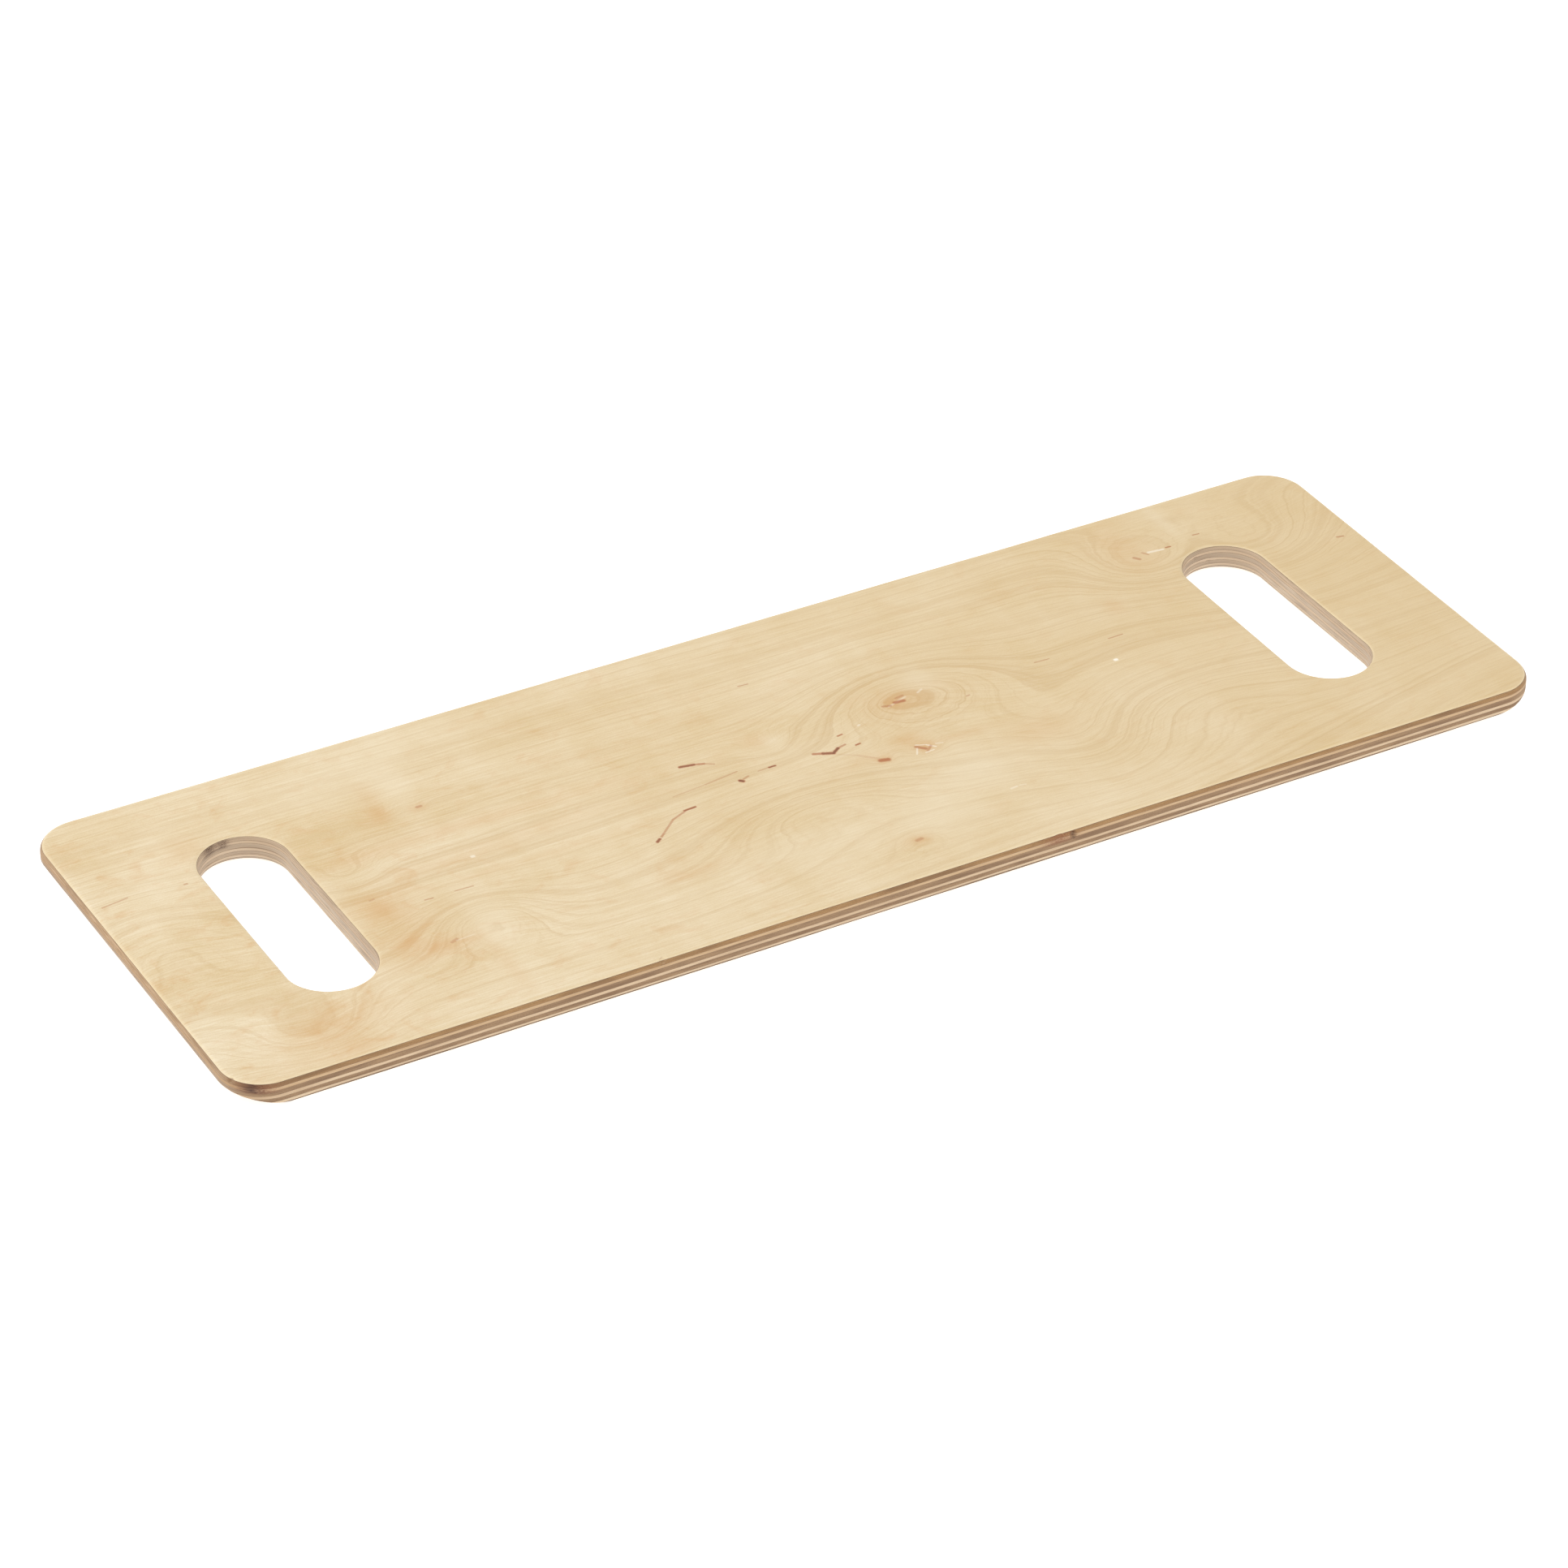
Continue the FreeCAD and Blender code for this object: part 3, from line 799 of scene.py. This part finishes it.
def edge_birch(name, seed, grain, tint, end_colour, side_colour, dark_colour, colours):
    """Sawn and sanded edge of an inner birch veneer. Cut along its grain it is pale with long soft streaks;
    cut across it the open ends of the vessels drink lacquer, so it is darker, speckled and duller."""
    material, put, place = new_material(name)
    axes = put("SeparateXYZ", ("Vector", place), out="X").node
    facing = put("NewGeometry", out="Normal")
    toward = put("VectorMath", (0, facing), (1, grain), operation="DOT_PRODUCT", out="Value")
    across = put("Math", (0, toward), operation="ABSOLUTE")
    # distance travelled along the edge: x on the long sides, y on the ends, both at the corners
    run = put("Math", (0, axes.outputs["X"]), (1, axes.outputs["Y"]), operation="ADD")
    edge_place = put("CombineXYZ", (0, run), (1, axes.outputs["Z"]), (2, seed))

    # side grain: fibres 11 mm long and about 0.3 mm apart through the ply
    streak_place = stretch(put, edge_place, (1 / 11, 1 / 0.34, 1))
    streaks = put("TexNoise", ("Vector", streak_place), ("Scale", 1.0), ("Detail", 3.0),
                  ("Roughness", 0.55))
    # end grain: vessels are 0.1 mm across and too fine to show, so they are drawn about 0.5 mm
    speck_place = stretch(put, edge_place, (1 / 0.55, 1 / 0.40, 1))
    specks = put("TexNoise", ("Vector", speck_place), ("Scale", 1.0), ("Detail", 2.0), ("Roughness", 0.7))
    # growth rings run through the ply edge-on as slightly slanting bands, 10 mm long and 0.8 mm apart
    slant_place = stretch(put, edge_place, (1 / 10.0, 1 / 0.8, 1))
    slants = put("TexNoise", ("Vector", slant_place), ("Scale", 1.0), ("Detail", 2.0), ("Distortion", 0.8))
    # patches about 34 mm long where the veneer took more lacquer or glue
    patch_place = stretch(put, edge_place, (1 / 34, 1 / 4.0, 1))
    patches = put("TexNoise", ("Vector", patch_place), ("Scale", 1.0), ("Detail", 2.0))
    patchy = ramp(put, patches, 0.44, 0.66)

    side_tone = times(put, streaks, 0.75)
    side_tone = times_add(put, slants, 0.35, side_tone)
    side_light = put("MapRange", (0, side_tone), (1, 0.42), (2, 0.66))
    side = stained(put, side_light, dark_colour, side_colour)
    side = stained(put, 0.15, side, side_colour)
    end_tone = times(put, specks, 0.60)
    end_tone = times_add(put, slants, 0.55, end_tone)
    end_light = put("MapRange", (0, end_tone), (1, 0.43), (2, 0.72))
    end = stained(put, end_light, dark_colour, end_colour)
    cut_across = ramp(put, across, 0.15, 0.85)
    colour = stained(put, cut_across, side, end)
    # no two veneers come from the same log; the lowest cross ply's tint also carries painted shade under
    # the edge
    own_tint, own_amount = tint
    colour = stained(put, own_amount, colour, linear(own_tint))
    patch_amount = put("MapRange", (0, cut_across), (3, 0.28), (4, 0.55))
    patch_dark = times(put, patchy, patch_amount)
    colour = stained(put, patch_dark, colour, dark_colour)

    # inside the slots the wood is hidden from light and hands, so it stays paler and pinker
    off_x = put("Math", (0, axes.outputs["X"]), operation="ABSOLUTE")
    off_x = put("Math", (0, off_x), (1, SLOT_X), operation="SUBTRACT")
    off_x = put("Math", (0, off_x), operation="ABSOLUTE")
    near_x = put("MapRange", (0, off_x), (1, SLOT_HALF_X + 6), (2, SLOT_HALF_X + 3))
    off_y = put("Math", (0, axes.outputs["Y"]), operation="ABSOLUTE")
    near_y = put("MapRange", (0, off_y), (1, SLOT_HALF_Y + 6), (2, SLOT_HALF_Y + 3))
    inside = times(put, near_x, near_y)
    inside_amount = times(put, inside, 0.46)
    colour = stained(put, inside_amount, colour, colours.slot_wall)
    # the router leaves fine level lines there, drawn 0.3 mm high
    line_place = stretch(put, edge_place, (1 / 15, 1 / 0.30, 1))
    lines = put("TexNoise", ("Vector", line_place), ("Scale", 1.0), ("Detail", 2.0))
    routed = ramp(put, lines, 0.50, 0.70, 0.0, 0.60)
    colour = stained(put, times(put, inside, routed), colour, dark_colour)

    # a knot meets the edge in the upper plies, red-brown beside a small black void, and one corner is
    # stained by handling; the stain lies in specks, as the open vessels take it up
    stain = sum_of_swells(put, place, 0.0, EDGE_STAINS)
    upper = put("MapRange", (0, axes.outputs["Z"]), (1, 7.0), (2, 8.2))
    mottle = put("MapRange", (0, specks), (1, 0.35), (2, 0.60), (3, 1.0), (4, 0.35))
    marked = times(put, upper, mottle)
    stain_amount = times(put, stain, marked, use_clamp=True)
    colour = stained(put, stain_amount, colour, colours.edge_stain)
    # the router dwelt at one end of a slot and scorched it
    dark = sum_of_swells(put, place, 0.0, EDGE_DARK)
    dark_amount = times(put, dark, marked, use_clamp=True)
    colour = stained(put, dark_amount, colour, colours.edge_knot)

    rough = put("MapRange", (0, cut_across), (3, 0.55), (4, 0.72))
    relief = put("Mix", (0, cut_across), (2, streaks), (3, specks), data_type="FLOAT")
    # saw and sander leave about 0.05 mm of tooth in the edge
    close_material(put, colour, rough, relief, 0.05, (("IOR", 1.5),))
    return material


def phenolic_film(colours):
    """Cured phenolic resin between the plies: a thin, hard, dark brown line, a little uneven where it was
    squeezed thin."""
    material, put, place = new_material("phenolic_glue_line_sanded")
    scaled = stretch(put, place, (1 / 6, 1 / 6, 1 / 0.4))
    squeeze = put("TexNoise", ("Vector", scaled), ("Scale", 1.0), ("Detail", 3.0))
    amount = put("MapRange", (0, squeeze), (1, 0.35), (2, 0.65))
    colour = stained(put, amount, colours.glue, colours.glue_thin)
    rough = put("MapRange", (0, squeeze), (3, 0.45), (4, 0.65))
    # sanding drags the film by about 0.02 mm
    close_material(put, colour, rough, squeeze, 0.02, (("IOR", 1.6),))
    return material


def shooting_table(look):
    """Matt white acrylic shooting table, lit from behind, so that it stays white beside the board and only
    a trace of shadow gathers under it."""
    material, put, place = new_material("opal_acrylic_matt")
    scaled = stretch(put, place, (1 / 90, 1 / 90, 0))
    haze = put("TexNoise", ("Vector", scaled), ("Scale", 1.0), ("Detail", 2.0))
    colour = stained(put, haze, tuple(look.floor_colour), (0.72, 0.72, 0.72, 1))
    rough = put("MapRange", (0, haze), (3, 0.75), (4, 0.85))
    close_material(
        put, colour, rough, haze, 0.01,
        (("IOR", 1.49), ("Emission Color", (1, 1, 1, 1)), ("Emission Strength", look.floor_glow)),
    )
    return material


# ---------------------------------------------------------------------------
# What a user would change


def colour_property(name, hex_colour, description):
    """A colour setting with its default given as sRGB hex."""
    return FloatVectorProperty(
        name=name, description=description, subtype="COLOR", size=4, min=0, max=1,
        default=linear(hex_colour),
    )


class BoardShape(bpy.types.PropertyGroup):
    """Small departures from the ideal shape."""

    glue_waver: FloatProperty(
        name="Glue line waver", description="How far a glue line wanders up and down in the cut edge",
        default=0.17 * MM, min=0, max=0.3 * MM, unit="LENGTH", subtype="DISTANCE",
    )
    sanding_ripple: FloatProperty(
        name="Sanding ripple", description="Depth of the sander's unevenness in the cut edges",
        default=0.05 * MM, min=0, max=0.2 * MM, unit="LENGTH", subtype="DISTANCE",
    )


class BoardColours(bpy.types.PropertyGroup):
    """Colours of the wood and glue."""

    face_pale: colour_property("Face, pale", "#F1E3C6", "Palest plain wood of the face veneers")
    face_deep: colour_property("Face, deep", "#D8BE8E", "Deepest plain wood of the face veneers")
    # partly painted sheen: the tint of the end that reflects less of the soft light, partly the wood's own
    # warmth
    face_warm_low_sheen: colour_property("Face, warm end", "#D9BD8B", "Tint of the face veneer toward the warm end")
    silver: colour_property("Silvery fibre", "#F2E6CB", "Wood whose fibres tip up at the surface")
    latewood: colour_property("Latewood", "#C9A873", "Growth lines and pores of the face veneers")
    knot: colour_property("Knot halo", "#CF9A56", "Warm wood round knots")
    streak: colour_property("Mineral streak", "#AC5C2C", "Brown mineral streaks")
    bark: colour_property("Bark fleck", "#40261A", "Darkest parts of streaks")
    filler: colour_property("Cream fleck", "#FBF3E2", "Cream flecks of hard tissue and filler")
    # painted highlight: colour of the light caught by the rounded arris of the face veneers
    rim: colour_property("Arris", "#F0DCB4", "Sanded arris of the face veneers")
    long_side: colour_property("Long ply, side", "#CFB28F", "Inner plies cut along their grain")
    long_dark: colour_property("Long ply, dark", "#A98560", "Dark streaks of the lengthwise plies")
    long_end: colour_property("Long ply, end", "#A88768", "Lengthwise plies cut across their grain")
    cross_end: colour_property("Cross ply, end", "#A5835D", "Crosswise plies cut across their grain")
    # also the colour of the painted shade where the face veneers' edge turns under
    cross_dark: colour_property("Cross ply, dark", "#75573D", "Dark patches of the crosswise plies")
    cross_side: colour_property("Cross ply, side", "#CDB497", "Crosswise plies cut along their grain")
    slot_wall: colour_property("Slot wall", "#DECDB6", "Tint of the wood inside the slots")
    edge_stain: colour_property("Edge stain", "#8C5638", "Red-brown wood round a knot in the cut edges")
    edge_knot: colour_property("Edge knot", "#4A2E20", "Voids and scorch marks in the cut edges")
    glue: colour_property("Glue line", "#5A402B", "Phenolic glue film")
    glue_thin: colour_property("Glue line, thin", "#7D5E42", "Phenolic glue film squeezed thin")


class StageLook(bpy.types.PropertyGroup):
    """Floor, light and camera."""

    floor_colour: colour_property("Floor", "#DCDCDC", "Matt white table top")
    floor_glow: FloatProperty(
        name="Floor glow", description="Light coming through the table top", default=0.70, min=0, max=2
    )
    sky_light: FloatProperty(
        name="Surrounding light", description="Even white light from all round", default=0.84, min=0, max=3
    )
    key_power: FloatProperty(
        name="Key light", description="Power of the large soft light over the left end", default=12.6,
        min=0, max=500, unit="POWER",
    )
    fill_power: FloatProperty(
        name="Fill light", description="Power of the soft light before the board", default=4,
        min=0, max=500, unit="POWER",
    )
    azimuth: FloatProperty(
        name="Camera azimuth", description="How far the camera stands round to the left of the long side",
        default=math.radians(30.05), unit="ROTATION", subtype="ANGLE",
    )
    elevation: FloatProperty(
        name="Camera elevation", description="Angle of the camera above the table",
        default=math.radians(33.75), unit="ROTATION", subtype="ANGLE",
    )
    roll: FloatProperty(
        name="Camera roll", description="Tilt of the camera about its own axis",
        default=math.radians(0.773), unit="ROTATION", subtype="ANGLE",
    )
    distance: FloatProperty(
        name="Camera distance", description="From the camera to the middle of the board",
        default=2.408, min=0.5, max=10, unit="LENGTH", subtype="DISTANCE",
    )
    lens: FloatProperty(
        name="Lens", description="Focal length on a 36 mm wide sensor, in mm", default=133.73,
        min=20, max=300,
    )


# ---------------------------------------------------------------------------
# Operators


class FaceVeneers(bpy.types.Operator):
    """Build the top and bottom face veneers in lacquered birch"""

    bl_idname = "transfer_board.face_veneers"
    bl_label = "Face veneers"

    def execute(self, context):
        colours, shape = context.scene.board_colours, context.scene.board_shape
        top = face_birch("birch_face_satin_lacquered_top", 1.7, TOP_SWELLS, TOP_LINED, TOP_WARM,
                         TOP_PALE, TOP_STREAKS, TOP_CREAM, colours)
        under = face_birch("birch_face_satin_lacquered_under", 23.4, UNDER_SWELLS, UNDER_LINED,
                           UNDER_WARM, UNDER_PALE, UNDER_STREAKS, UNDER_CREAM, colours)
        place_ply("top_face_veneer", top, shape)
        place_ply("bottom_face_veneer", under, shape)
        return {"FINISHED"}


class InnerVeneers(bpy.types.Operator):
    """Build the seven inner veneers, each with the grain of its own cut edges"""

    bl_idname = "transfer_board.inner_veneers"
    bl_label = "Inner veneers"

    def execute(self, context):
        colours, shape = context.scene.board_colours, context.scene.board_shape
        for i, (node, tint) in enumerate(PLY_TINTS.items()):
            name = f"birch_edge_sanded_{node}"
            seed = 3.1 + 5 * i
            if "cross" in node:
                wood = edge_birch(name, seed, (0, 1, 0), tint, colours.cross_end, colours.cross_side,
                                  colours.cross_dark, colours)
                place_ply(node, wood, shape)
            else:
                wood = edge_birch(name, seed, (1, 0, 0), tint, colours.long_end, colours.long_side,
                                  colours.long_dark, colours)
                place_ply(node, wood, shape)
        return {"FINISHED"}


class GlueFilms(bpy.types.Operator):
    """Build the eight thin glue films between the veneers"""

    bl_idname = "transfer_board.glue_films"
    bl_label = "Glue films"

    def execute(self, context):
        film = phenolic_film(context.scene.board_colours)
        for node in GLUE_FILMS:
            place_ply(node, film, context.scene.board_shape)
        return {"FINISHED"}


def area_light(name, place, aim, size, power):
    """A square soft light pointed at a place; all in metres and watts."""
    light = bpy.data.lights.new(name, "AREA")
    light.shape = "SQUARE"
    light.size = size
    light.energy = power
    lamp = bpy.data.objects.new(name, light)
    lamp.location = place
    lamp.rotation_euler = (Vector(aim) - Vector(place)).to_track_quat("-Z", "Y").to_euler()
    bpy.context.scene.collection.objects.link(lamp)


def table_mesh():
    """The top of the table, a square in even tiles; all in metres."""
    bm = bmesh.new()
    steps = [TABLE_HALF * (2 * i / TABLE_TILES - 1) for i in range(TABLE_TILES + 1)]
    rows = [[bm.verts.new((x, y, 0)) for x in steps] for y in steps]
    for row, following in zip(rows, rows[1:]):
        for i in range(TABLE_TILES):
            bm.faces.new((row[i], row[i + 1], following[i + 1], following[i]))
    mesh = bpy.data.meshes.new("white_table")
    bm.to_mesh(mesh)
    bm.free()
    return mesh


class Stage(bpy.types.Operator):
    """Lay the white table, set the lights and place the camera"""

    bl_idname = "transfer_board.stage"
    bl_label = "Stage"

    def execute(self, context):
        scene, look = context.scene, context.scene.stage_look
        floor = bpy.data.objects.new("white_table", table_mesh())
        floor.data.materials.append(shooting_table(look))
        floor.location.z = TABLE_HEIGHT
        scene.collection.objects.link(floor)

        world = bpy.data.worlds.new("white_studio")
        world.use_nodes = True
        world.node_tree.nodes.clear()
        sky = add(world.node_tree, "Background", ("Color", (1, 1, 1, 1)), ("Strength", look.sky_light))
        add(world.node_tree, "OutputWorld", ("Surface", sky))
        scene.world = world
        area_light("key_soft_light", (-0.9, 0.8, 1.7), (0, 0, 0), 1.6, look.key_power)
        area_light("fill_soft_light", (0.6, -1.8, 1.0), (0, 0, 0), 1.2, look.fill_power)
        scene.view_settings.view_transform = "Standard"

        aim = Vector(CAMERA_AIM) * MM
        level = math.cos(look.elevation)
        back = Vector(
            (-math.sin(look.azimuth) * level, -math.cos(look.azimuth) * level, math.sin(look.elevation))
        )
        camera = bpy.data.objects.new("camera", bpy.data.cameras.new("camera"))
        camera.data.sensor_width = SENSOR_WIDTH
        camera.data.lens = look.lens
        camera.location = aim + back * look.distance
        camera.rotation_mode = "QUATERNION"
        camera.rotation_quaternion = (-back).to_track_quat("-Z", "Y") @ Quaternion((0, 0, 1), look.roll)
        scene.collection.objects.link(camera)
        scene.camera = camera
        return {"FINISHED"}


class TransferBoardPanel(bpy.types.Panel):
    """Lists the board's steps and settings"""

    bl_idname = "VIEW3D_PT_transfer_board"
    bl_label = "Transfer board"
    bl_space_type = "VIEW_3D"
    bl_region_type = "UI"
    bl_category = "Transfer board"

    def draw(self, context):
        for step in STEPS:
            self.layout.operator(step.bl_idname)
        for group in (context.scene.board_shape, context.scene.board_colours, context.scene.stage_look):
            box = self.layout.box()
            for name in group.__annotations__:
                box.prop(group, name)


STEPS = (FaceVeneers, InnerVeneers, GlueFilms, Stage)
GROUPS = {"board_shape": BoardShape, "board_colours": BoardColours, "stage_look": StageLook}


def register():
    for group in GROUPS.values():
        bpy.utils.register_class(group)
    for step in (*STEPS, TransferBoardPanel):
        bpy.utils.register_class(step)
    for name, group in GROUPS.items():
        setattr(bpy.types.Scene, name, PointerProperty(type=group))


def unregister():
    for name in GROUPS:
        delattr(bpy.types.Scene, name)
    for made in (TransferBoardPanel, *reversed(STEPS), *reversed(list(GROUPS.values()))):
        bpy.utils.unregister_class(made)


def main():
    register()
    bpy.ops.transfer_board.face_veneers()
    bpy.ops.transfer_board.inner_veneers()
    bpy.ops.transfer_board.glue_films()
    bpy.ops.transfer_board.stage()
    bpy.context.view_layer.update()


if __name__ == "__main__":
    main()
